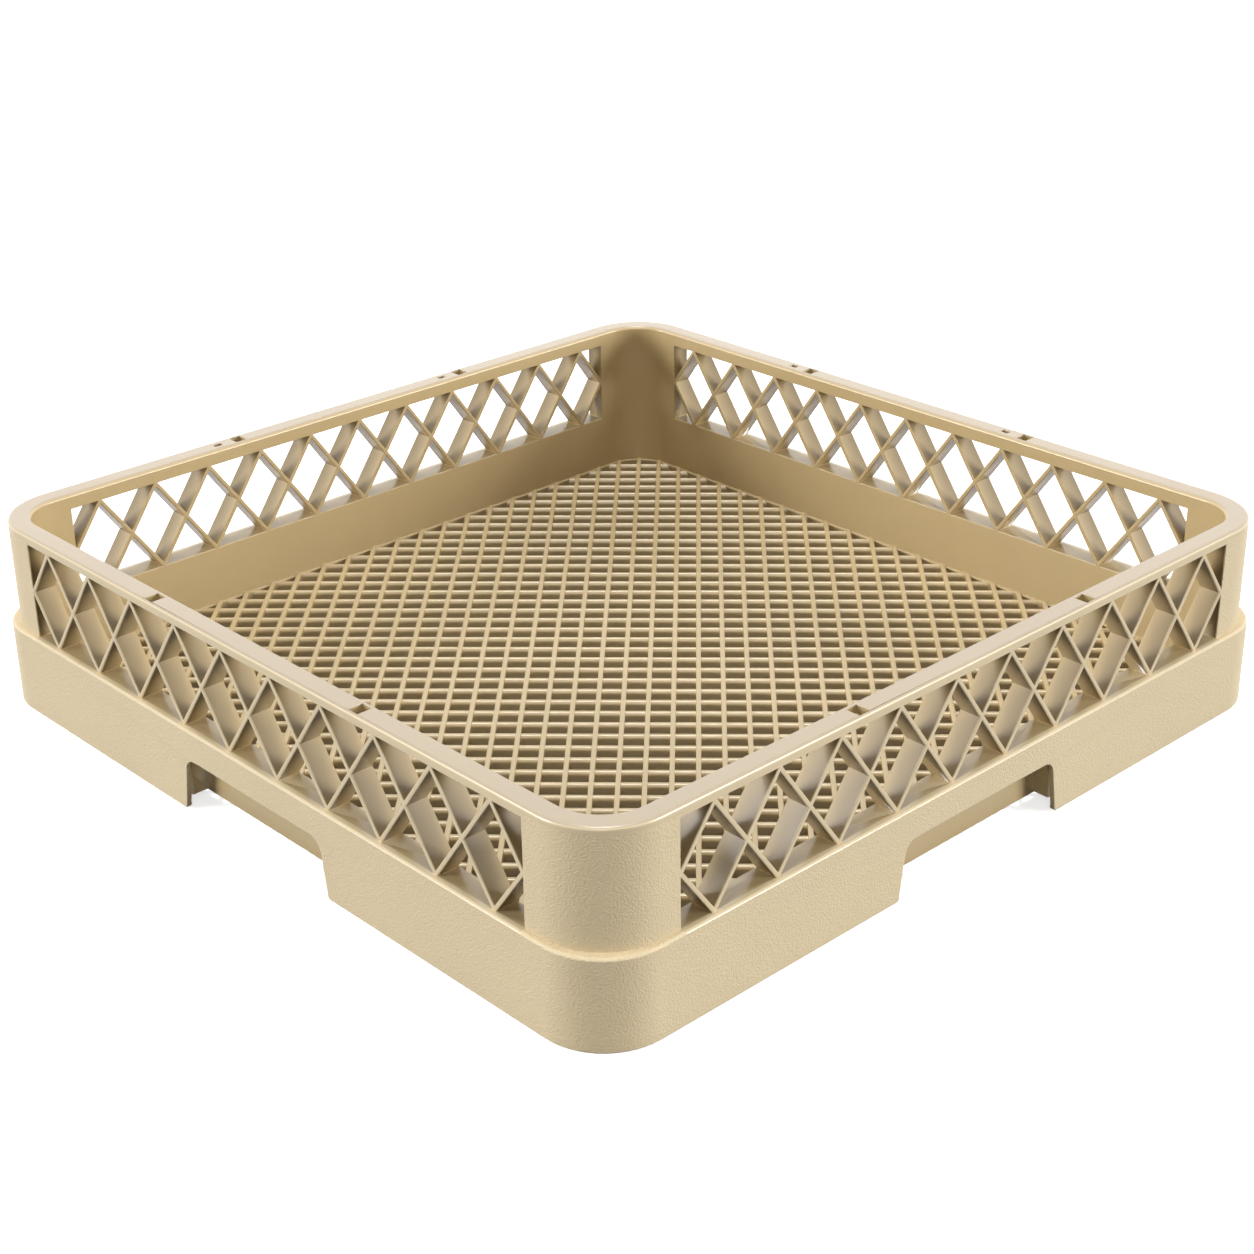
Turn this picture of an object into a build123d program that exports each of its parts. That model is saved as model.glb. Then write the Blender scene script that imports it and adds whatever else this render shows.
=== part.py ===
from build123d import *
import os
from math import hypot, ceil

# Dishwasher cutlery rack, one moulding, in millimetres.
# The origin is the centre of the rack on the surface it stands on, and +Z is up.
# The front wall is at -Y, the right wall at +X, and the two back walls are opposite them.

# Whole rack
SIDE = 500.0
HEIGHT = 108.0

# Skirt, the widest band round the foot
SKIRT_RADIUS = 35.0
SKIRT_THICK = 2.8
LIP_BEVEL = 1.1
FOOT_BEVEL = 0.8

# Shelf that joins the skirt to the upper wall, and is the sill of the windows
SHELF_HEIGHT = 48.0
SHELF_THICK = 2.6

# Upper wall: corner posts, rim rail and lattice
POST_INSET = 3.0
POST_RADIUS = 37.0
POST_WIDTH = 47.0
WALL_DEPTH = 12.5
SKIN = 2.5
FRONT_RAIL = 5.5
BACK_RAIL = 9.0
RIM_OUTER_RADIUS = 1.8
RIM_INNER_BEVEL = 1.5

# Diamond lattice in the four windows
LATTICE_BAR = 2.4
FRONT_DIAMONDS = 10
BACK_DIAMONDS = 11

# Mesh floor: two layers of bars that run along the diagonals of the rack
FLOOR_BOTTOM = 6.5
FLOOR_DEPTH = 7.5
FLOOR_BORDER = 2.6
MESH_BAR = 2.8
MESH_PITCH = 20.0

# Hand notches in the foot of the skirt, and the ribs beside them
NOTCH_WIDTH = 120.0
NOTCH_TOP_WIDTH = 111.0
NOTCH_HEIGHT = 31.0
NOTCH_TOP_RADIUS = 7.0
NOTCH_FOOT_RADIUS = 3.5
RIB_SPACING = 115.0
RIB_THICK = 2.4
RIB_FOOT = 8.0

# Blind pockets in the rim, with a small slot beside each one on the back walls
POCKET_SPACING = 168.0
POCKET_LENGTH = 7.0
POCKET_LIP = 2.8
POCKET_DEPTH = 4.5
SLOT_OFFSET = 14.0
SLOT_LENGTH = 5.0
SLOT_WIDTH = 3.6

# How far a cutting shape reaches past the face that it cuts
CLEAR = 1.0

# Worked out from the values above
SKIRT_HALF = SIDE / 2
POST_HALF = SKIRT_HALF - POST_INSET
BASKET_HALF = POST_HALF - WALL_DEPTH
BASKET_RADIUS = POST_RADIUS - WALL_DEPTH
CHANNEL_OUTER = SKIRT_HALF - SKIRT_THICK
CHANNEL_INNER = BASKET_HALF + SKIN
CHANNEL_TOP = SHELF_HEIGHT - SHELF_THICK
WINDOW_LENGTH = 2 * (POST_HALF - POST_WIDTH)
FLOOR_MIDDLE = FLOOR_BOTTOM + FLOOR_DEPTH / 2
FLOOR_TOP = FLOOR_BOTTOM + FLOOR_DEPTH

# Turn about Z that brings a feature of the front wall to each wall
FRONT_WALLS = (0, 90)
BACK_WALLS = (180, 270)
WALLS = FRONT_WALLS + BACK_WALLS


def plan(half, radius):
    """Square with round corners, seen from above."""
    return RectangleRounded(2 * half, 2 * half, radius)


def raised(outline, low, high):
    """Upright solid over an outline, between two heights."""
    return extrude(Pos(0, 0, low) * outline, high - low)


def block_between(low, high):
    """Box between its lowest and its highest corner."""
    size = [b - a for a, b in zip(low, high)]
    middle = [(a + b) / 2 for a, b in zip(low, high)]
    return Pos(*middle) * Box(*size)


def front_cut(outline, inside, outside):
    """Cutting solid through the front wall, from an outline of X against Z."""
    return extrude(Plane.XZ.offset(inside) * outline, outside - inside)


def outer_form():
    """Skirt and upper wall as one solid block, with a bevelled lip and foot and a round rim."""
    skirt = raised(plan(SKIRT_HALF, SKIRT_RADIUS), 0, SHELF_HEIGHT)
    skirt = chamfer(skirt.faces().sort_by(Axis.Z)[-1].edges(), LIP_BEVEL)
    skirt = chamfer(skirt.faces().sort_by(Axis.Z)[0].edges(), FOOT_BEVEL)
    upper = raised(plan(POST_HALF, POST_RADIUS), CHANNEL_TOP, HEIGHT)
    upper = fillet(upper.faces().sort_by(Axis.Z)[-1].edges(), RIM_OUTER_RADIUS)
    return skirt + upper


def cut_basket(body):
    """Hollow out the basket down to the floor plate, and bevel the inner edge of the rim."""
    body -= raised(plan(BASKET_HALF, BASKET_RADIUS), FLOOR_TOP, HEIGHT + CLEAR)
    rim_face = body.faces().sort_by(Axis.Z)[-1]
    return chamfer(rim_face.inner_wires()[0].edges(), RIM_INNER_BEVEL)


def cut_underside(body):
    """Open the moulding from below: space under the floor, channel behind the skirt, and hollow posts."""
    inner_skin = plan(CHANNEL_INNER, BASKET_RADIUS + SKIN)
    channel = plan(CHANNEL_OUTER, SKIRT_RADIUS - SKIRT_THICK)
    body -= raised(channel, -CLEAR, FLOOR_BOTTOM)
    body -= raised(channel - inner_skin, FLOOR_BOTTOM - CLEAR, CHANNEL_TOP)
    jamb_to_jamb = WINDOW_LENGTH + 2 * SKIN
    corners = plan(POST_HALF - SKIN, POST_RADIUS - SKIN) - inner_skin
    corners -= Rectangle(jamb_to_jamb, SIDE) + Rectangle(SIDE, jamb_to_jamb)
    return body - raised(corners, CHANNEL_TOP - CLEAR, HEIGHT - SKIN)


def notch_ribs():
    """Two ribs per wall that tie the skirt to the basket wall beside the hand notch."""
    near = RIB_SPACING / 2
    low = (near, -CHANNEL_OUTER, RIB_FOOT)
    high = (near + RIB_THICK, -(CHANNEL_INNER - SKIN / 2), CHANNEL_TOP + SHELF_THICK / 2)
    rib = block_between(low, high)
    pair = [rib, mirror(rib, Plane.YZ)]
    return [Rot(0, 0, turn) * one for turn in WALLS for one in pair]


def lattice_openings(diamonds, rail):
    """Outlines of one window's openings: whole diamonds, and the triangles left around them."""
    pitch = WINDOW_LENGTH / diamonds
    low, high = SHELF_HEIGHT, HEIGHT - rail
    middle = (low + high) / 2
    end = WINDOW_LENGTH / 2
    slant = hypot(pitch, high - low)
    across = LATTICE_BAR / 2 * slant / (high - low)
    up = LATTICE_BAR / 2 * slant / pitch
    nodes = [(i + 0.5) * pitch - end for i in range(diamonds)]
    outlines = []
    for x in nodes:
        side = pitch / 2 - across
        outlines.append([(x - side, middle), (x, low + up), (x + side, middle), (x, high - up)])
    for left, right in zip(nodes, nodes[1:]):
        cross = (left + right) / 2
        outlines.append([(left + across, low), (right - across, low), (cross, middle - up)])
        outlines.append([(left + across, high), (cross, middle + up), (right - across, high)])
    first, last = nodes[0] - across, nodes[-1] + across
    outlines.append([(-end, low), (first, low), (-end, middle - up)])
    outlines.append([(-end, high), (-end, middle + up), (first, high)])
    outlines.append([(end, low), (end, middle - up), (last, low)])
    outlines.append([(end, high), (last, high), (end, middle + up)])
    return [Polygon(*points, align=None) for points in outlines]


def cut_windows(body):
    """Cut the lattice into the four upper walls."""
    front = (FRONT_WALLS, FRONT_DIAMONDS, FRONT_RAIL)
    back = (BACK_WALLS, BACK_DIAMONDS, BACK_RAIL)
    cuts = []
    for turns, diamonds, rail in (front, back):
        for outline in lattice_openings(diamonds, rail):
            cut = front_cut(outline, BASKET_HALF - CLEAR, POST_HALF + CLEAR)
            cuts += [Rot(0, 0, turn) * cut for turn in turns]
    return body - cuts


def cut_notches(body):
    """Cut the hand notch into the skirt of each wall, with round upper corners and round feet."""
    foot, top = NOTCH_WIDTH / 2, NOTCH_TOP_WIDTH / 2
    shoulder = foot + 2 * NOTCH_FOOT_RADIUS
    points = [(shoulder, 0), (foot, 0), (top, NOTCH_HEIGHT), (-top, NOTCH_HEIGHT), (-foot, 0), (-shoulder, 0)]
    outline = Polygon(*points, (-shoulder, -CLEAR), (shoulder, -CLEAR), align=None)
    corners = outline.vertices()
    tops = [v for v in corners if abs(v.Y - NOTCH_HEIGHT) < 0.01]
    outline = fillet(tops, NOTCH_TOP_RADIUS)
    feet = [v for v in outline.vertices() if abs(v.Y) < 0.01 and abs(abs(v.X) - foot) < 0.01]
    outline = fillet(feet, NOTCH_FOOT_RADIUS)
    cut = front_cut(outline, CHANNEL_OUTER - CLEAR, SKIRT_HALF + CLEAR)
    return body - [Rot(0, 0, turn) * cut for turn in WALLS]


def cut_pockets(body):
    """Cut the blind pockets into the top of the rim."""
    inner, outer = BASKET_HALF + POCKET_LIP, POST_HALF - RIM_OUTER_RADIUS
    middle = (inner + outer) / 2
    low, high = HEIGHT - POCKET_DEPTH, HEIGHT + CLEAR
    near, far = middle - SLOT_WIDTH / 2, middle + SLOT_WIDTH / 2
    cuts = []
    for x in (-POCKET_SPACING / 2, POCKET_SPACING / 2):
        half = POCKET_LENGTH / 2
        pocket = block_between((x - half, -outer, low), (x + half, -inner, high))
        cuts += [Rot(0, 0, turn) * pocket for turn in WALLS]
        start = x + SLOT_OFFSET - SLOT_LENGTH / 2
        slot = block_between((start, -far, low), (start + SLOT_LENGTH, -near, high))
        cuts += [Rot(0, 0, turn) * slot for turn in BACK_WALLS]
    return body - cuts


def mesh_slots(turn, low, high):
    """Slots between the bars of one floor layer, kept inside the border along the walls."""
    inside = plan(BASKET_HALF - FLOOR_BORDER, BASKET_RADIUS - FLOOR_BORDER)
    strip = Rectangle(2 * SIDE, MESH_PITCH - MESH_BAR)
    steps = ceil(hypot(BASKET_HALF, BASKET_HALF) / MESH_PITCH)
    slots = []
    for i in range(-steps, steps):
        slot = inside & (Rot(0, 0, turn) * Pos(0, (i + 0.5) * MESH_PITCH) * strip)
        # A scrap of a slot in a corner is left out, because it would be too small to mould.
        if slot and slot.area > MESH_PITCH * MESH_BAR:
            slots.append(raised(slot, low, high))
    return slots


def cut_mesh(body):
    """Turn the floor plate into two crossed layers of bars, open wherever the slots of both layers meet."""
    body -= mesh_slots(-45, FLOOR_MIDDLE, FLOOR_TOP + CLEAR)
    return body - mesh_slots(45, FLOOR_BOTTOM - CLEAR, FLOOR_MIDDLE)


rack = cut_underside(cut_basket(outer_form()))
rack = cut_pockets(cut_notches(cut_windows(rack)))
rack += notch_ribs()
rack = cut_mesh(rack)

os.makedirs("parts", exist_ok=True)
export_step(rack, "parts/cutlery_rack.step")
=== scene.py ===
import math

import bmesh
import bpy
from bpy.props import FloatProperty, FloatVectorProperty, IntProperty, PointerProperty
from bpy.types import Operator, Panel, PropertyGroup
from mathutils import Matrix, Vector


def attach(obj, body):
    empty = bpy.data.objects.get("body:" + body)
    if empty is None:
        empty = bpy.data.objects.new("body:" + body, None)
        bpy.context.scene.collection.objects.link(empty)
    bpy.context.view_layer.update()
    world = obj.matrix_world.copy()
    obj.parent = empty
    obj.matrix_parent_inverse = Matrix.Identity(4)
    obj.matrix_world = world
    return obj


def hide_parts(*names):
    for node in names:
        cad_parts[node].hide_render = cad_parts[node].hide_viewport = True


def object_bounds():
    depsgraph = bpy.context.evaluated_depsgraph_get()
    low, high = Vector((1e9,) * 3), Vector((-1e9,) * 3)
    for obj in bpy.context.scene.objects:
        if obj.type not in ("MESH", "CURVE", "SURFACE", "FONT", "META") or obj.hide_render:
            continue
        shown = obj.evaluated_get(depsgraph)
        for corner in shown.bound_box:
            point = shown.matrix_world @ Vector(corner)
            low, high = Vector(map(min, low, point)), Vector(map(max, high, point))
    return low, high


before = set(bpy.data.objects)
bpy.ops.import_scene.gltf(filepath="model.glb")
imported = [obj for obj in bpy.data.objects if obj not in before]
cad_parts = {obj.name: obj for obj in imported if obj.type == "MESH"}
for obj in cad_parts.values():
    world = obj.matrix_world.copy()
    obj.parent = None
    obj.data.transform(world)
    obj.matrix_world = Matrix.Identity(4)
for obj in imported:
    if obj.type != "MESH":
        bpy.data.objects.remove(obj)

bl_info = {
    "name": "Dishwasher Cutlery Rack",
    "version": (1, 0, 0),
    "blender": (4, 5, 0),
    "location": "3D View > Sidebar > Cutlery Rack",
    "description": "Gives the packed rack its rounded edges, fine mesh floor, plastic and studio",
    "category": "Object",
}

NODE = "cutlery_rack"
BODY = "root"

CAD_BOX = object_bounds()
HALF_SIDE = CAD_BOX[1].x

# Vertices nearer to each other than this are one vertex, and heights compare within SLACK
WELD = 1e-6
SLACK = 1e-5
CORNER_STEPS = 12
CROWN_STEPS = 8
BAR_EDGE_STEPS = 3
BISECTIONS = 40
# A face looks down where its unit normal is below this height
UNDERSIDE = -0.9

# Turn of the two layers of floor bars, and the least share of a pitch from the last bar to the corner
FLAT_BAR_TURN = 3 * math.pi / 4
CROSS_BAR_TURN = math.pi / 4
CORNER_SHARE = 0.5

# Values of the noise at which a flow cloud starts and is full
CLOUD_START, CLOUD_FULL = 0.35, 0.65
# Height of the unit normal on the upper faces of the lattice bars; the painted shade in the windows is full
# on faces whose normal lies below its negative, and least on faces above it
BAR_TILT = 0.6
PAPER_ROUGHNESS = 0.9
# Places of the colours among the sockets of a Mix node, whose names they share with other kinds of value
MIX_FIRST, MIX_SECOND, MIX_RESULT = 6, 7, 2

# Turn of each light from the camera's side and its rise from the floor, in degrees
LEFT_LIGHT = (281, 15)
RIGHT_LIGHT = (77, 12)
TOP_LIGHT = (0, 90)
FRONT_LIGHT = (0, 30)
LIGHT_DISTANCE = 3.0
SENSOR_WIDTH = 36.0


# Settings that a user would change

class ShellSettings(PropertyGroup):
    """Sizes of the moulding's walls and edges"""

    basket_half: FloatProperty(
        name="Basket Half Width", description="From the middle of the rack to the inner face of a wall",
        default=HALF_SIDE - 0.0155, unit="LENGTH")
    basket_radius: FloatProperty(
        name="Basket Corner Radius", description="Radius of the inner corners, seen from above",
        default=0.0245, unit="LENGTH")
    skin: FloatProperty(
        name="Wall Skin", description="Thickness of the basket's wall at its foot",
        default=0.0025, unit="LENGTH")
    edge_round: FloatProperty(
        name="Edge Round", description="Size of the small rounds along the moulding's edges",
        default=0.0005, unit="LENGTH")
    edge_steps: IntProperty(
        name="Edge Steps", description="Faces across each small round", default=2, min=1)
    edge_angle: FloatProperty(
        name="Edge Angle", description="An edge that turns more than this is rounded",
        default=math.radians(35), subtype="ANGLE")


class FloorSettings(PropertyGroup):
    """Sizes of the mesh floor"""

    bottom: FloatProperty(
        name="Underside", description="Height of the underside of the floor",
        default=0.0065, unit="LENGTH")
    top: FloatProperty(
        name="Top", description="Height of the flat-topped bars", default=0.014, unit="LENGTH")
    flat_pitch: FloatProperty(
        name="Flat Bar Pitch", description="Distance from one flat-topped bar to the next",
        default=0.01355, unit="LENGTH")
    flat_width: FloatProperty(
        name="Flat Bar Width", description="Width of a flat-topped bar at its top",
        default=0.0028, unit="LENGTH")
    flat_round: FloatProperty(
        name="Flat Bar Edge", description="Radius of the upper edges of the flat-topped bars",
        default=0.0004, unit="LENGTH")
    cross_pitch: FloatProperty(
        name="Cross Bar Pitch", description="Distance from one crowned cross bar to the next",
        default=0.01295, unit="LENGTH")
    cross_width: FloatProperty(
        name="Cross Bar Width", description="Width of a crowned cross bar below its crown",
        default=0.0042, unit="LENGTH")
    cross_crown: FloatProperty(
        name="Cross Bar Crown", description="Height of the round crown of the cross bars",
        default=0.0026, unit="LENGTH")
    cross_drop: FloatProperty(
        name="Cross Bar Drop", description="How far the crowned cross bars lie below the flat ones",
        default=0.0005, unit="LENGTH")
    draft: FloatProperty(
        name="Draft", description="How much narrower a bar is at its underside",
        default=0.0006, unit="LENGTH")
    border: FloatProperty(
        name="Border", description="Width of the strip along the walls", default=0.0016, unit="LENGTH")
    seat: FloatProperty(
        name="Seat", description="How far the ends of the bars run into the walls",
        default=0.0012, unit="LENGTH")


class FinishSettings(PropertyGroup):
    """Colour and gloss of the plastic, with its painted sheen and painted shade"""

    inner_colour: FloatVectorProperty(
        name="Inner Colour", description="Colour of the plastic inside the rack", subtype="COLOR", size=3,
        default=(0.482, 0.366, 0.191), min=0, max=1)
    # Painted sheen: the outer faces are paler than the plastic, standing in for the light's sheen on them
    outer_sheen_colour: FloatVectorProperty(
        name="Outer Sheen Colour", description="Paler colour on the outer faces, a painted sheen", subtype="COLOR",
        size=3, default=(0.608, 0.496, 0.312), min=0, max=1)
    # Painted shade: faces deep in the lattice windows are darker where shade falls, most on faces that look
    # down
    recess_shade_colour: FloatVectorProperty(
        name="Recess Colour", description="Painted shade deep in the lattice, darkest on faces that look down", subtype="COLOR",
        size=3, default=(0.12, 0.078, 0.03), min=0, max=1)
    # Painted sheen: the top of the rim is greyer, standing in for the white sheen that it reflects
    rim_sheen_colour: FloatVectorProperty(
        name="Rim Colour", description="Greyer colour along the top of the rim, a painted sheen",
        subtype="COLOR", size=3, default=(0.415, 0.336, 0.234), min=0, max=1)
    flow_shade: FloatProperty(
        name="Flow Shade", description="Shade of the faint clouds that the melt leaves", default=0.95,
        subtype="FACTOR", min=0, max=1)
    outer_roughness: FloatProperty(
        name="Grained Roughness", description="Roughness of the grained outside", default=0.5,
        subtype="FACTOR", min=0, max=1)
    inner_roughness: FloatProperty(
        name="Satin Roughness", description="Roughness of the smooth inside", default=0.26,
        subtype="FACTOR", min=0, max=1)
    grain_size: FloatProperty(
        name="Grain Size", description="Width of one pebble of the leather grain",
        default=0.001, unit="LENGTH")
    grain_depth: FloatProperty(
        name="Grain Depth", description="Depth of the leather grain", default=0.00018, unit="LENGTH")


class StageSettings(PropertyGroup):
    """Camera, floor and lights"""

    floor_side: FloatProperty(
        name="Floor Side", description="Side of the pale floor", default=16.0, unit="LENGTH")
    floor_colour: FloatVectorProperty(
        name="Floor Colour", description="Colour of the pale floor", subtype="COLOR", size=3,
        default=(0.95, 0.95, 0.95), min=0, max=1)
    bounce_colour: FloatVectorProperty(
        name="Bounce Colour", description="Colour of the pale floor for the light that it throws back",
        subtype="COLOR", size=3, default=(0.1, 0.1, 0.1), min=0, max=1)
    floor_glow: FloatProperty(
        name="Floor Glow", description="Strength of the light from below that whitens the pale floor",
        default=0.7)
    room_strength: FloatProperty(
        name="Room Light", description="Strength of the even white light that the room throws on the rack",
        default=0.05)
    wall_strength: FloatProperty(
        name="Room Walls", description="Brightness of the white room, as it shows in the plastic's sheen",
        default=2.0)
    left_strength: FloatProperty(
        name="Left Light", description="Strength of the low soft light on the left", default=2.95)
    right_strength: FloatProperty(
        name="Right Light", description="Strength of the low soft light on the right", default=3.1)
    top_strength: FloatProperty(
        name="Top Light", description="Strength of the soft light above the rack", default=2.7)
    front_strength: FloatProperty(
        name="Front Light", description="Strength of the weak soft light beside the camera", default=0.5)
    side_spread: FloatProperty(
        name="Side Light Spread", description="Angle that each side light fills, seen from the rack",
        default=math.radians(24), subtype="ANGLE")
    upper_spread: FloatProperty(
        name="Upper Light Spread", description="Angle that the higher lights fill, seen from the rack",
        default=math.radians(22), subtype="ANGLE")
    azimuth: FloatProperty(
        name="Azimuth", description="Turn of the camera about the rack, from the front wall",
        default=math.radians(47.032), subtype="ANGLE")
    elevation: FloatProperty(
        name="Elevation", description="Angle of the camera above the floor",
        default=math.radians(25.028), subtype="ANGLE")
    roll: FloatProperty(
        name="Roll", description="Turn of the camera about its own line of sight",
        default=math.radians(-0.816), subtype="ANGLE")
    distance: FloatProperty(
        name="Distance", description="From the camera to the point that it looks at",
        default=1.2334, unit="LENGTH")
    aim_height: FloatProperty(
        name="Aim Height", description="Height of the point that the camera looks at",
        default=0.05, unit="LENGTH")
    lens: FloatProperty(
        name="Lens", description="Focal length in millimetres on a 36 mm wide sensor", default=64.36)
    shift_x: FloatProperty(
        name="Shift X", description="Sideways shift of the frame, as a share of its width", default=0.0018)
    shift_y: FloatProperty(
        name="Shift Y", description="Upward shift of the frame, as a share of its width", default=-0.0148)


class RackSettings(PropertyGroup):
    """All settings of the rack"""

    shell: PointerProperty(type=ShellSettings, name="Shell", description="Walls and edges")
    floor: PointerProperty(type=FloorSettings, name="Floor", description="Mesh floor")
    finish: PointerProperty(type=FinishSettings, name="Finish", description="Plastic")
    stage: PointerProperty(type=StageSettings, name="Stage", description="Camera, floor and lights")


# Shader node groups

def new_group(name, inputs, outputs):
    """Empty shader node group with named sockets, and its input and output nodes."""
    group = bpy.data.node_groups.new(name, "ShaderNodeTree")
    for socket, kind, default in inputs:
        made = group.interface.new_socket(socket, in_out="INPUT", socket_type=kind)
        made.default_value = default
    for socket, kind in outputs:
        group.interface.new_socket(socket, in_out="OUTPUT", socket_type=kind)
    return group, group.nodes.new("NodeGroupInput"), group.nodes.new("NodeGroupOutput")


def add_node(tree, kind, links=(), values=(), **settings):
    """New node with its settings, linked inputs as (socket, source) and plain inputs as (socket, value)."""
    node = tree.nodes.new(kind)
    for name, value in settings.items():
        setattr(node, name, value)
    for socket, source in links:
        tree.links.new(source, node.inputs[socket])
    for socket, value in values:
        node.inputs[socket].default_value = value
    return node


def combine(tree, operation, first, second):
    """Output of a Math node on two linked values."""
    return add_node(tree, "ShaderNodeMath", operation=operation, links=[(0, first), (1, second)]).outputs[0]


def flow_tint_group():
    """Faint darker clouds in the colour of the plastic, where the melt flowed."""
    tree, given, result = new_group(
        "Flow Tint",
        [("Colour", "NodeSocketColor", (1, 1, 1, 1)), ("Shade", "NodeSocketFloat", 0.95),
         ("Cloud Scale", "NodeSocketFloat", 9.0)],
        [("Colour", "NodeSocketColor")])
    place = add_node(tree, "ShaderNodeTexCoord")
    clouds = add_node(tree, "ShaderNodeTexNoise",
                      links=[("Vector", place.outputs["Object"]), ("Scale", given.outputs["Cloud Scale"])],
                      values=[("Detail", 4.0), ("Roughness", 0.55)])
    shade = add_node(tree, "ShaderNodeMapRange",
                     links=[("Value", clouds.outputs["Fac"]), ("To Max", given.outputs["Shade"])],
                     values=[("From Min", CLOUD_START), ("From Max", CLOUD_FULL), ("To Min", 1.0)])
    shaded = add_node(tree, "ShaderNodeVectorMath", operation="SCALE",
                      links=[(0, given.outputs["Colour"]), ("Scale", shade.outputs["Result"])])
    tree.links.new(shaded.outputs["Vector"], result.inputs["Colour"])
    return tree


def leather_grain_group():
    """Height of the fine pebbled grain that the mould's etched faces leave."""
    tree, given, result = new_group(
        "Leather Grain", [("Pebbles per Metre", "NodeSocketFloat", 900.0)],
        [("Height", "NodeSocketFloat")])
    place = add_node(tree, "ShaderNodeTexCoord")
    pebbles = add_node(tree, "ShaderNodeTexVoronoi", feature="F1",
                       links=[("Vector", place.outputs["Object"]),
                              ("Scale", given.outputs["Pebbles per Metre"])])
    wander = add_node(tree, "ShaderNodeTexNoise",
                      links=[("Vector", place.outputs["Object"]),
                             ("Scale", given.outputs["Pebbles per Metre"])],
                      values=[("Detail", 1.0)])
    height = combine(tree, "ADD", pebbles.outputs["Distance"], wander.outputs["Fac"])
    tree.links.new(height, result.inputs["Height"])
    return tree


def outer_faces_group():
    """Masks: Outside on all outer faces, Etched on skirt and posts, painted shade deep in the windows,
    painted sheen on the rim's top.

    Outside and the painted shade go by the distance from a square core, which gives the walls' round corners."""
    sizes = {
        "Core Half Width": 0.21, "Basket Radius": 0.0245, "Inside Radius": 0.0360, "Outside Radius": 0.0368,
        "Skirt Top": 0.0468, "Sill Top": 0.0484, "Post Start": 0.2, "Post Top": 0.1045, "Rim Start": 0.1074,
        "Upper Share": 0.63,
    }
    tree, given, result = new_group(
        "Outer Faces", [(name, "NodeSocketFloat", size) for name, size in sizes.items()],
        [(name, "NodeSocketFloat") for name in ("Outside", "Etched", "Recess Shade", "Rim Sheen")])
    place = add_node(tree, "ShaderNodeTexCoord")
    flat = add_node(tree, "ShaderNodeVectorMath", operation="MULTIPLY",
                    links=[(0, place.outputs["Object"])], values=[(1, (1, 1, 0))])
    positive = add_node(tree, "ShaderNodeVectorMath", operation="ABSOLUTE", links=[(0, flat.outputs[0])])
    core = add_node(tree, "ShaderNodeCombineXYZ",
                    links=[("X", given.outputs["Core Half Width"]), ("Y", given.outputs["Core Half Width"])])
    beyond = add_node(tree, "ShaderNodeVectorMath", operation="SUBTRACT",
                      links=[(0, positive.outputs[0]), (1, core.outputs[0])])
    kept = add_node(tree, "ShaderNodeVectorMath", operation="MAXIMUM",
                    links=[(0, beyond.outputs[0])], values=[(1, (0, 0, 0))])
    radius = add_node(tree, "ShaderNodeVectorMath", operation="LENGTH", links=[(0, kept.outputs[0])])
    outside = add_node(tree, "ShaderNodeMapRange", interpolation_type="SMOOTHSTEP",
                       links=[("Value", radius.outputs["Value"]),
                              ("From Min", given.outputs["Inside Radius"]),
                              ("From Max", given.outputs["Outside Radius"])])
    height = add_node(tree, "ShaderNodeSeparateXYZ", links=[(0, place.outputs["Object"])]).outputs["Z"]
    across = add_node(tree, "ShaderNodeSeparateXYZ", links=[(0, positive.outputs[0])])
    nearer = combine(tree, "MINIMUM", across.outputs["X"], across.outputs["Y"])
    in_post = combine(tree, "GREATER_THAN", nearer, given.outputs["Post Start"])
    below_rim = combine(tree, "LESS_THAN", height, given.outputs["Post Top"])
    post = combine(tree, "MULTIPLY", in_post, below_rim)
    skirt = combine(tree, "LESS_THAN", height, given.outputs["Skirt Top"])
    grained = combine(tree, "MAXIMUM", post, skirt)
    # Painted shade: it grows from the basket's inner face to the wall's outer face, in the windows only
    depth = add_node(tree, "ShaderNodeMapRange",
                     links=[("Value", radius.outputs["Value"]), ("From Min", given.outputs["Basket Radius"]),
                            ("From Max", given.outputs["Inside Radius"])])
    above_sill = combine(tree, "GREATER_THAN", height, given.outputs["Sill Top"])
    in_window = combine(tree, "MULTIPLY", above_sill, below_rim)
    hollow = combine(tree, "MULTIPLY", depth.outputs["Result"], in_window)
    facing = add_node(tree, "ShaderNodeNewGeometry")
    tilt = add_node(tree, "ShaderNodeSeparateXYZ", links=[(0, facing.outputs["Normal"])])
    # Painted shade is full on faces that look down and falls to the Upper Share on faces that look up
    overhang = add_node(tree, "ShaderNodeMapRange",
                        links=[("Value", tilt.outputs["Z"]), ("To Max", given.outputs["Upper Share"])],
                        values=[("From Min", -BAR_TILT), ("From Max", BAR_TILT), ("To Min", 1.0)])
    masks = {
        "Outside": outside.outputs["Result"],
        "Etched": combine(tree, "MULTIPLY", outside.outputs["Result"], grained),
        "Recess Shade": combine(tree, "MULTIPLY", hollow, overhang.outputs["Result"]),
        "Rim Sheen": combine(tree, "GREATER_THAN", height, given.outputs["Rim Start"]),
    }
    for name, mask in masks.items():
        tree.links.new(mask, result.inputs[name])
    return tree


def shared_group(name, build):
    """The node group of that name, built the first time that a material asks for it."""
    return bpy.data.node_groups.get(name) or build()


def use_group(tree, name, build, values=()):
    """Places a shared node group in a material with its own values."""
    return add_node(tree, "ShaderNodeGroup", node_tree=shared_group(name, build), values=values)


# Materials

def new_material(name):
    """Empty node material, and its Principled shader."""
    material = bpy.data.materials.new(name)
    material.use_nodes = True
    return material, material.node_tree, material.node_tree.nodes["Principled BSDF"]


def colour_value(colour):
    """Colour of a setting as the four numbers that a socket takes."""
    return (*colour, 1.0)


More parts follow.
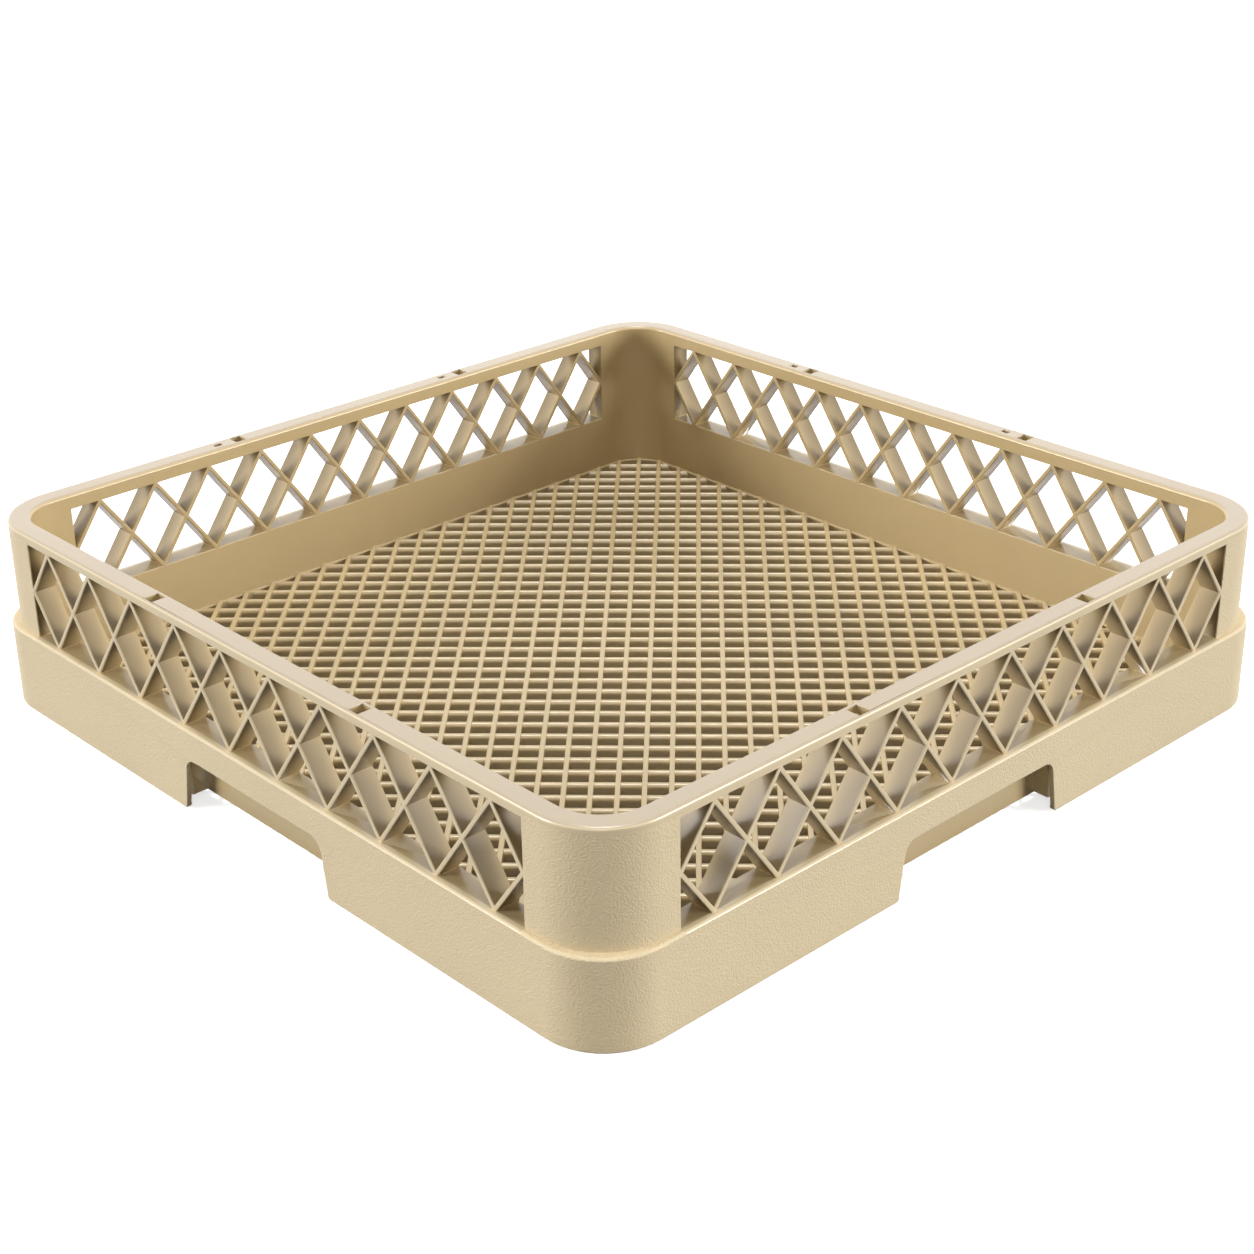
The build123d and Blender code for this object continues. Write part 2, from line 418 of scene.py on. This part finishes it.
def add_flow_tint(tree, shader, finish):
    """Gives a shader the smooth plastic's colour with its faint flow clouds, and returns the clouds' node."""
    clouds = use_group(tree, "Flow Tint", flow_tint_group,
                       [("Colour", colour_value(finish.inner_colour)), ("Shade", finish.flow_shade)])
    tree.links.new(clouds.outputs["Colour"], shader.inputs["Base Color"])
    return clouds


def mix_colours(tree, share, first, second):
    """Output of a Mix node that goes from a plain or linked colour to a plain one by a linked share."""
    mixed = add_node(tree, "ShaderNodeMix", data_type="RGBA", links=[("Factor", share)],
                     values=[(MIX_SECOND, colour_value(second))])
    if isinstance(first, bpy.types.NodeSocket):
        tree.links.new(first, mixed.inputs[MIX_FIRST])
    else:
        mixed.inputs[MIX_FIRST].default_value = colour_value(first)
    return mixed.outputs[MIX_RESULT]


def grained_plastic(finish):
    """Plastic of the walls: leather grain outside, satin inside; paler outside and greyer on the rim as
    painted sheen, darker in the windows as painted shade.
    """
    material, tree, shader = new_material("grained_plastic")
    faces = use_group(tree, "Outer Faces", outer_faces_group)
    clouds = add_flow_tint(tree, shader, finish)
    # Painted shade deep in the windows, then painted sheen that pales the outer faces and greys the rim's top
    colour = mix_colours(tree, faces.outputs["Recess Shade"], finish.inner_colour, finish.recess_shade_colour)
    colour = mix_colours(tree, faces.outputs["Outside"], colour, finish.outer_sheen_colour)
    colour = mix_colours(tree, faces.outputs["Rim Sheen"], colour, finish.rim_sheen_colour)
    tree.links.new(colour, clouds.inputs["Colour"])
    roughness = add_node(tree, "ShaderNodeMapRange", links=[("Value", faces.outputs["Etched"])],
                         values=[("To Min", finish.inner_roughness), ("To Max", finish.outer_roughness)])
    tree.links.new(roughness.outputs["Result"], shader.inputs["Roughness"])
    grain = use_group(tree, "Leather Grain", leather_grain_group,
                      [("Pebbles per Metre", 1 / finish.grain_size)])
    height = combine(tree, "MULTIPLY", grain.outputs["Height"], faces.outputs["Etched"])
    bump = add_node(tree, "ShaderNodeBump", links=[("Height", height)],
                    values=[("Distance", finish.grain_depth), ("Strength", 1.0)])
    tree.links.new(bump.outputs["Normal"], shader.inputs["Normal"])
    return material


def satin_plastic(finish):
    """Plastic of the mesh floor: smooth and slightly glossy."""
    material, tree, shader = new_material("satin_plastic")
    add_flow_tint(tree, shader, finish)
    shader.inputs["Roughness"].default_value = finish.inner_roughness
    return material


def pale_floor_paper(stage):
    """Matt white of the studio floor: it glows for the camera, and throws little light on the rack."""
    material, tree, shader = new_material("pale_floor_paper")
    path = add_node(tree, "ShaderNodeLightPath")
    colour = mix_colours(tree, path.outputs["Is Diffuse Ray"], stage.floor_colour, stage.bounce_colour)
    tree.links.new(colour, shader.inputs["Base Color"])
    shader.inputs["Emission Color"].default_value = (1, 1, 1, 1)
    glow = add_node(tree, "ShaderNodeMath", operation="MULTIPLY",
                    links=[(0, path.outputs["Is Camera Ray"])], values=[(1, stage.floor_glow)])
    tree.links.new(glow.outputs[0], shader.inputs["Emission Strength"])
    shader.inputs["Roughness"].default_value = PAPER_ROUGHNESS
    shader.inputs["Specular IOR Level"].default_value = 0.0
    return material


# Pieces

def add_object(name, bm, material):
    """New object from a bmesh, with its material, in the scene."""
    mesh = bpy.data.meshes.new(name)
    bm.to_mesh(mesh)
    bm.free()
    mesh.materials.clear()
    mesh.materials.append(material)
    made = bpy.data.objects.new(name, mesh)
    bpy.context.scene.collection.objects.link(made)
    return made


def stand_for_rack(piece):
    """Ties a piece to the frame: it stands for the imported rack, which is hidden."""
    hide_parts(NODE)
    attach(piece, BODY)


def take_out_floor(bm, shell, floor):
    """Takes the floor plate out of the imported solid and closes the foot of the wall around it."""
    low, high = floor.bottom - SLACK, floor.top + SLACK

    def in_plate(face):
        reach = max(max(abs(v.co.x), abs(v.co.y)) for v in face.verts)
        level = all(low < v.co.z < high for v in face.verts)
        return level and (reach < shell.basket_half + SLACK or face.normal.z < UNDERSIDE
                          and reach < shell.basket_half + shell.skin + SLACK)

    bmesh.ops.delete(bm, geom=[f for f in bm.faces if in_plate(f)], context="FACES")
    open_edges = [e for e in bm.edges if e.is_boundary]
    middle = (low + high) / 2
    upper = [e for e in open_edges if e.verts[0].co.z > middle]
    lower = [e for e in open_edges if e.verts[0].co.z < middle]
    drawn = bmesh.ops.extrude_edge_only(bm, edges=upper)["geom"]
    for vertex in (g for g in drawn if isinstance(g, bmesh.types.BMVert)):
        vertex.co.z = floor.bottom
    foot = [g for g in drawn if isinstance(g, bmesh.types.BMEdge) and g.is_boundary]
    bmesh.ops.bridge_loops(bm, edges=foot + lower)
    bmesh.ops.recalc_face_normals(bm, faces=bm.faces)


def round_edges(bm, shell):
    """Gives the sharp outer edges of the moulding their small rounds."""
    sharp = [e for e in bm.edges if e.is_convex and e.calc_face_angle(0) > shell.edge_angle
             and e.calc_length() > 2 * shell.edge_round]
    bmesh.ops.bevel(bm, geom=sharp, offset=shell.edge_round, offset_type="OFFSET", affect="EDGES",
                    segments=shell.edge_steps, profile=0.5, clamp_overlap=False, loop_slide=True)


def keep_creases(bm, shell):
    """Shades every face smooth, and keeps the inner corners crisp."""
    for face in bm.faces:
        face.smooth = True
    for edge in bm.edges:
        edge.smooth = edge.is_convex or edge.calc_face_angle(0) < shell.edge_angle


def build_shell(settings):
    """Walls, skirt, posts and rim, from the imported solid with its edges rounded."""
    bm = bmesh.new()
    bm.from_mesh(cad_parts[NODE].data)
    bmesh.ops.remove_doubles(bm, verts=bm.verts, dist=WELD)
    take_out_floor(bm, settings.shell, settings.floor)
    round_edges(bm, settings.shell)
    keep_creases(bm, settings.shell)
    piece = add_object("rack_shell", bm, grained_plastic(settings.finish))
    piece.modifiers.new("Even Shading", "WEIGHTED_NORMAL").keep_sharp = True
    return piece


def reach_along(start, heading, half, radius):
    """How far a line from a point inside a rounded square runs before it leaves it."""
    # Two sides are longer than any line across the square
    near, far = 0.0, 4 * half
    for _ in range(BISECTIONS):
        middle = (near + far) / 2
        point = start + heading * middle
        beyond = Vector((max(abs(point.x) - half + radius, 0), max(abs(point.y) - half + radius, 0)))
        if beyond.length < radius:
            near = middle
        else:
            far = middle
    return near


def arc_points(middle, radius, start, end, steps):
    """Points of an arc in the plane, from one angle to another."""
    angles = [start + (end - start) * i / steps for i in range(steps + 1)]
    return [(middle[0] + radius * math.cos(a), middle[1] + radius * math.sin(a)) for a in angles]


def flat_bar_section(floor):
    """Section of a flat-topped bar as (across, height), with round upper edges and drafted sides."""
    half, foot = floor.flat_width / 2, (floor.flat_width - floor.draft) / 2
    edge = floor.flat_round
    right = arc_points((half - edge, floor.top - edge), edge, 0, math.pi / 2, BAR_EDGE_STEPS)
    left = [(-across, height) for across, height in reversed(right)]
    return [(foot, floor.bottom), *right, *left, (-foot, floor.bottom)]


def cross_bar_section(floor):
    """Section of a crowned cross bar as (across, height), half an ellipse on drafted sides."""
    half, foot = floor.cross_width / 2, (floor.cross_width - floor.draft) / 2
    spring = floor.top - floor.cross_drop - floor.cross_crown
    crown = [(half * x, spring + floor.cross_crown * y)
             for x, y in arc_points((0, 0), 1, 0, math.pi, CROWN_STEPS)]
    return [(foot, floor.bottom), *crown, (-foot, floor.bottom)]


def add_bar(bm, section, turn, offset, half, radius):
    """One straight bar across the floor, whose ends follow the walls."""
    heading = Vector((math.cos(turn), math.sin(turn)))
    aside = Vector((-heading.y, heading.x))
    rings = ([], [])
    for across, height in section:
        start = aside * (offset + across)
        for ring, way in zip(rings, (heading, -heading)):
            end = start + way * reach_along(start, way, half, radius)
            ring.append(bm.verts.new((end.x, end.y, height)))
    count = len(section)
    for i in range(count):
        j = (i + 1) % count
        bm.faces.new((rings[0][i], rings[0][j], rings[1][j], rings[1][i]))
    bm.faces.new(reversed(rings[0]))
    bm.faces.new(rings[1])


def add_bars(bm, section, turn, pitch, half, radius):
    """All bars of one direction, as far as they fit between the corners."""
    corner = half * math.sqrt(2) - radius * (math.sqrt(2) - 1)
    steps = int(corner / pitch - CORNER_SHARE)
    for i in range(-steps, steps + 1):
        add_bar(bm, section, turn, i * pitch, half, radius)


def rounded_square(half, radius):
    """Points round a square with round corners, seen from above."""
    core = half - radius
    points = []
    for quarter in range(4):
        turn = quarter * math.pi / 2
        middle = Vector((core, core))
        middle.rotate(Matrix.Rotation(turn, 2))
        points += arc_points(middle, radius, turn, turn + math.pi / 2, CORNER_STEPS)
    return points


def add_border(bm, shell, floor):
    """Strip of the floor along the walls."""
    edge = floor.flat_round
    top = floor.top - floor.cross_drop
    section = [(-floor.seat, floor.bottom), (-floor.seat, top), (floor.border - edge, top),
               (floor.border, top - edge), (floor.border, floor.bottom)]
    rings = []
    for inset, height in section:
        outline = rounded_square(shell.basket_half - inset, shell.basket_radius - inset)
        rings.append([bm.verts.new((x, y, height)) for x, y in outline])
    for i, ring in enumerate(rings):
        after = rings[(i + 1) % len(rings)]
        for j in range(len(ring)):
            k = (j + 1) % len(ring)
            bm.faces.new((ring[j], ring[k], after[k], after[j]))


def build_floor(settings):
    """Mesh floor: flat-topped bars along one diagonal, crowned bars across them and a border strip."""
    shell, floor = settings.shell, settings.floor
    half, radius = shell.basket_half + floor.seat, shell.basket_radius + floor.seat
    bm = bmesh.new()
    add_bars(bm, flat_bar_section(floor), FLAT_BAR_TURN, floor.flat_pitch, half, radius)
    add_bars(bm, cross_bar_section(floor), CROSS_BAR_TURN, floor.cross_pitch, half, radius)
    add_border(bm, shell, floor)
    bmesh.ops.recalc_face_normals(bm, faces=bm.faces)
    for face in bm.faces:
        face.smooth = True
    for edge in bm.edges:
        edge.smooth = edge.calc_face_angle(0) < shell.edge_angle
    return add_object("floor_mesh", bm, satin_plastic(settings.finish))


# Stage

def add_floor_plane(stage):
    """Pale floor that the rack stands on."""
    bm = bmesh.new()
    side = stage.floor_side / 2
    corners = [bm.verts.new((x * side, y * side, 0)) for x, y in ((-1, -1), (1, -1), (1, 1), (-1, 1))]
    bm.faces.new(corners)
    add_object("studio_floor", bm, pale_floor_paper(stage))


def direction_to(turn, rise):
    """Unit vector from the rack: turn goes about the rack from the front wall, rise up from the floor."""
    return Vector((math.sin(turn) * math.cos(rise), -math.cos(turn) * math.cos(rise), math.sin(rise)))


def add_soft_light(name, turn, rise, spread, strength, stage):
    """Soft light that shines evenly from far away, turned and raised in degrees from the camera's side."""
    light = bpy.data.lights.new(name, "SUN")
    light.angle = spread
    light.energy = strength
    lamp = bpy.data.objects.new(name, light)
    towards = direction_to(stage.azimuth + math.radians(turn), math.radians(rise))
    lamp.location = towards * LIGHT_DISTANCE
    lamp.rotation_mode = "QUATERNION"
    lamp.rotation_quaternion = towards.to_track_quat("Z", "Y")
    bpy.context.scene.collection.objects.link(lamp)


def light_room(stage):
    """White room that shows in the sheen, low soft lights on both sides, one above, a weak one in front."""
    world = bpy.data.worlds.new("studio_room")
    world.use_nodes = True
    tree = world.node_tree
    background = tree.nodes["Background"]
    background.inputs["Color"].default_value = (1, 1, 1, 1)
    path = add_node(tree, "ShaderNodeLightPath")
    strength = add_node(tree, "ShaderNodeMapRange", links=[("Value", path.outputs["Is Diffuse Ray"])],
                        values=[("To Min", stage.wall_strength), ("To Max", stage.room_strength)])
    tree.links.new(strength.outputs["Result"], background.inputs["Strength"])
    bpy.context.scene.world = world
    add_soft_light("left_light", *LEFT_LIGHT, stage.side_spread, stage.left_strength, stage)
    add_soft_light("right_light", *RIGHT_LIGHT, stage.side_spread, stage.right_strength, stage)
    add_soft_light("top_light", *TOP_LIGHT, stage.upper_spread, stage.top_strength, stage)
    add_soft_light("front_light", *FRONT_LIGHT, stage.upper_spread, stage.front_strength, stage)


def add_camera(stage):
    """Camera at the angle of the photograph."""
    turn, rise = stage.azimuth, stage.elevation
    back = direction_to(turn, rise)
    right = Vector((math.cos(turn), math.sin(turn), 0))
    up = back.cross(right)
    level = Matrix((right, up, back)).transposed()
    lens = bpy.data.cameras.new("photo_camera")
    lens.lens = stage.lens
    lens.sensor_width = SENSOR_WIDTH
    lens.sensor_fit = "HORIZONTAL"
    lens.shift_x, lens.shift_y = stage.shift_x, stage.shift_y
    camera = bpy.data.objects.new("photo_camera", lens)
    placed = (level @ Matrix.Rotation(stage.roll, 3, "Z")).to_4x4()
    placed.translation = Vector((0, 0, stage.aim_height)) + back * stage.distance
    camera.matrix_world = placed
    bpy.context.scene.collection.objects.link(camera)
    bpy.context.scene.camera = camera


# Operators, panel and registration

class RACK_OT_shell(Operator):
    """Build the walls, skirt, posts and rim of the rack"""

    bl_idname = "rack.shell"
    bl_label = "Moulded Shell"

    def execute(self, context):
        stand_for_rack(build_shell(context.scene.cutlery_rack))
        return {"FINISHED"}


class RACK_OT_floor(Operator):
    """Build the mesh floor of the rack"""

    bl_idname = "rack.floor"
    bl_label = "Mesh Floor"

    def execute(self, context):
        stand_for_rack(build_floor(context.scene.cutlery_rack))
        return {"FINISHED"}


class RACK_OT_stage(Operator):
    """Set up the pale floor, the soft lights and the camera"""

    bl_idname = "rack.stage"
    bl_label = "Studio Stage"

    def execute(self, context):
        stage = context.scene.cutlery_rack.stage
        add_floor_plane(stage)
        light_room(stage)
        add_camera(stage)
        context.scene.view_settings.view_transform = "Standard"
        return {"FINISHED"}


class RACK_PT_panel(Panel):
    """Settings and steps of the cutlery rack"""

    bl_idname = "RACK_PT_panel"
    bl_label = "Cutlery Rack"
    bl_space_type = "VIEW_3D"
    bl_region_type = "UI"
    bl_category = "Cutlery Rack"

    def draw(self, context):
        settings = context.scene.cutlery_rack
        for group, steps in (
            (settings.shell, (RACK_OT_shell,)),
            (settings.floor, (RACK_OT_floor,)),
            (settings.finish, ()),
            (settings.stage, (RACK_OT_stage,)),
        ):
            box = self.layout.box()
            for name in group.__annotations__:
                box.prop(group, name)
            for step in steps:
                box.operator(step.bl_idname)


CLASSES = (
    ShellSettings,
    FloorSettings,
    FinishSettings,
    StageSettings,
    RackSettings,
    RACK_OT_shell,
    RACK_OT_floor,
    RACK_OT_stage,
    RACK_PT_panel,
)


def register():
    """Register the classes and put the settings on the scene."""
    for cls in CLASSES:
        bpy.utils.register_class(cls)
    bpy.types.Scene.cutlery_rack = PointerProperty(type=RackSettings)


def unregister():
    """Take the settings off the scene and unregister the classes."""
    del bpy.types.Scene.cutlery_rack
    for cls in reversed(CLASSES):
        bpy.utils.unregister_class(cls)


def main():
    """Build every piece and the stage."""
    register()
    bpy.ops.rack.shell()
    bpy.ops.rack.floor()
    bpy.ops.rack.stage()


if __name__ == "__main__":
    main()
